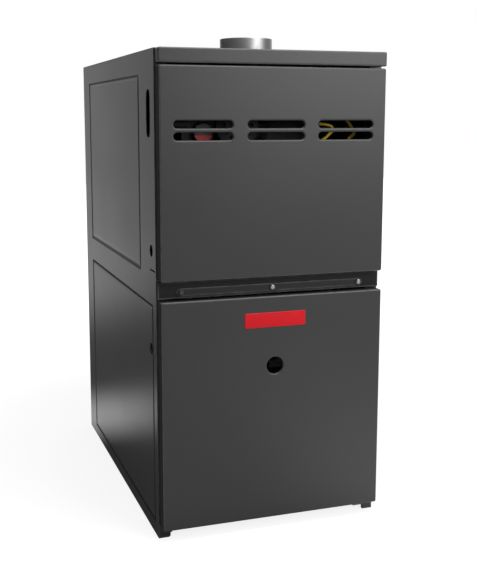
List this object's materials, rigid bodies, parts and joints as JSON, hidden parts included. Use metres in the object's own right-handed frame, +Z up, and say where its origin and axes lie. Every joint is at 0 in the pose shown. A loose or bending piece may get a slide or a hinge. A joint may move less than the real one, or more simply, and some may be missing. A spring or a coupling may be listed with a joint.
{
  "type": "forced air gas furnace",
  "caption": "Upright gas warm-air furnace in a dark steel cabinet with two lift-off doors, air slots, a round flue collar, burners, flue fan and blower inside.",
  "frame": {"origin": "on the floor, under the middle of the outline in plan, the badge plate included", "axes": "+Z up, -Y towards the doors, +X to the right as seen from the front"},
  "size_m": [0.4444, 0.725, 0.935],
  "materials": {
    "charcoal_paint": "semi-gloss charcoal powder coat",
    "dark_rail_paint": "satin near-black paint",
    "black_paint": "satin black enamel",
    "galvanised": "galvanised sheet, light spangle",
    "aluminised": "aluminised steel, dull",
    "collar_metal": "bare rolled sheet, bright",
    "zinc_screw": "zinc plated",
    "ground_steel": "ground steel",
    "cast_aluminium": "die cast, matt",
    "brass": "machined",
    "red_plate": "plain red, satin gloss",
    "knob_grey": "moulded grey",
    "red_mark": "moulded red",
    "red_button": "moulded red",
    "black_plastic": "moulded black",
    "white_plastic": "moulded off-white",
    "board_green": "lacquered circuit board",
    "foil_board": "foil faced insulation",
    "gasket_red": "silicone rubber",
    "rubber_black": "matt",
    "yellow_sleeve": "yellow insulation",
    "dark_sleeve": "dark insulation",
    "ceramic": "unglazed",
    "transformer_steel": "varnished laminations",
    "wheel_plastic": "moulded black",
    "fan_plastic": "moulded pale grey"
  },
  "bodies": {
    "cabinet": {"casing_wrap": "charcoal_paint", "top_cap": "charcoal_paint", "mullion": "dark_rail_paint", "door_retainer_strip": "dark_rail_paint", "retainer_screws": "zinc_screw", "base_frame": "galvanised", "blower_deck": "galvanised", "vestibule_panel": "galvanised", "vestibule_screws": "zinc_screw", "casing_liner": "foil_board", "gas_slot_cover": "galvanised", "hole_plugs": "black_plastic", "vent_collar": "collar_metal", "heat_exchanger_cells": "aluminised", "collector_box": "aluminised", "inducer_gasket": "gasket_red", "inducer_housing": "black_paint", "inducer_motor": "black_paint", "flue_transition": "collar_metal", "burner_bracket": "galvanised", "inshot_burners": "aluminised", "burner_orifices": "brass", "gas_manifold": "black_paint", "gas_valve": "cast_aluminium", "igniter": "ceramic", "flame_sensor": "ceramic", "rollout_switches": "black_plastic", "limit_switch": "black_plastic", "pressure_switch": "black_plastic", "pressure_hose": "rubber_black", "yellow_leads": "yellow_sleeve", "blower_housing": "galvanised", "blower_motor": "black_paint", "motor_mount": "zinc_screw", "blower_rails": "galvanised", "run_capacitor": "collar_metal", "capacitor_strap": "galvanised", "control_bracket": "galvanised", "control_board": "board_green", "board_components": "black_plastic", "transformer": "transformer_steel", "interlock_switch": "black_plastic", "junction_box": "galvanised", "junction_box_cover": "galvanised", "deck_grommet": "rubber_black", "wire_harness": "dark_sleeve"},
    "upper_door": {"upper_door": "charcoal_paint"},
    "lower_door": {"lower_door": "charcoal_paint", "badge_plate": "red_plate", "door_switch_tab": "galvanised"},
    "blower_wheel": {"blower_wheel": "galvanised", "blower_shaft": "ground_steel"},
    "inducer_wheel": {"inducer_wheel": "wheel_plastic", "inducer_shaft": "ground_steel", "motor_cooling_fan": "fan_plastic"},
    "switch_plunger": {"interlock_plunger": "white_plastic"},
    "valve_knob": {"gas_valve_knob": "knob_grey", "knob_indicator": "red_mark"},
    "reset_left": {"reset_button_left": "red_button"},
    "reset_right": {"reset_button_right": "red_button"}
  },
  "joints": [
    {"name": "upper_door_pull", "type": "slide", "parent": "cabinet", "child": "upper_door", "axis": [0, -1, 0], "range_m": [0, 0.25]},
    {"name": "lower_door_pull", "type": "slide", "parent": "cabinet", "child": "lower_door", "axis": [0, -1, 0], "range_m": [0, 0.25]},
    {"name": "blower_spin", "type": "hinge", "parent": "cabinet", "child": "blower_wheel", "pos_m": [0, 0.03015, 0.235], "axis": [1, 0, 0], "continuous": true},
    {"name": "inducer_spin", "type": "hinge", "parent": "cabinet", "child": "inducer_wheel", "pos_m": [-0.0515, -0.22, 0.77], "axis": [0, 1, 0], "continuous": true},
    {"name": "plunger_travel", "type": "slide", "parent": "cabinet", "child": "switch_plunger", "axis": [0, -1, 0], "range_m": [0, 0.005]},
    {"name": "knob_turn", "type": "hinge", "parent": "cabinet", "child": "valve_knob", "pos_m": [-0.1225, -0.3, 0.757], "axis": [0, -1, 0], "range_deg": [0, 90]},
    {"name": "reset_left_press", "type": "slide", "parent": "cabinet", "child": "reset_left", "axis": [0, 0, -1], "range_m": [0, 0.0015], "stiffness_N_per_m": 300},
    {"name": "reset_right_press", "type": "slide", "parent": "cabinet", "child": "reset_right", "axis": [0, 0, -1], "range_m": [0, 0.0015], "stiffness_N_per_m": 300}
  ],
  "couplings": [
    {"joint": "plunger_travel", "follows": "lower_door_pull", "ratio": 0.02}
  ]
}
